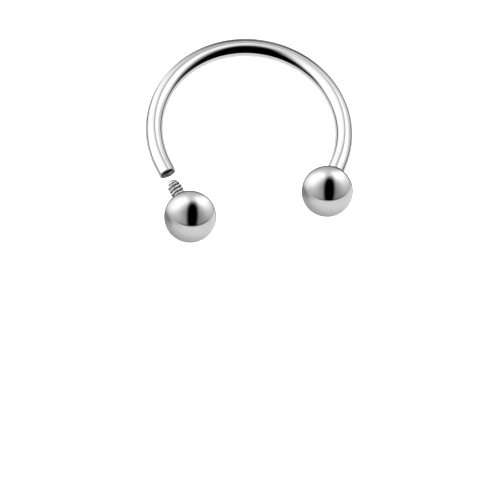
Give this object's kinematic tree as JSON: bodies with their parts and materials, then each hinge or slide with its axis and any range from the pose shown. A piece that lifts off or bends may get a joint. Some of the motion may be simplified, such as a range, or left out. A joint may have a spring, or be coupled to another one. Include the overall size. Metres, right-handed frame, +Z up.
{
  "type": "horseshoe barbell",
  "caption": "Polished steel horseshoe barbell: an open round wire with threaded sockets in its ends and threaded balls, one of them unscrewed and standing off.",
  "frame": {"origin": "middle of the part's box, on the surface that it lies on", "axes": "+Z up from the surface, +Y towards the crown of the bend with the balls at -Y, +X to the side of the closed ball"},
  "size_m": [0.0192, 0.0206, 0.0046],
  "materials": {
    "bar_steel": "mirror polished surgical steel",
    "ball_steel": "mirror polished surgical steel",
    "post_steel": "bright machined surgical steel"
  },
  "bodies": {
    "bar": {"horseshoe_bar": "bar_steel"},
    "left_end": {"left_ball": "ball_steel", "left_post": "post_steel"},
    "right_end": {"right_ball": "ball_steel", "right_post": "post_steel"}
  },
  "joints": [
    {"name": "left_slide", "type": "slide", "parent": "bar", "child": "left_end", "axis": [0.406, -0.9095, 0.0893], "range_m": [-0.00247, 0]},
    {"name": "right_slide", "type": "slide", "parent": "bar", "child": "right_end", "axis": [-0.4074, -0.9101, 0.076], "range_m": [0, 0.00247]}
  ]
}
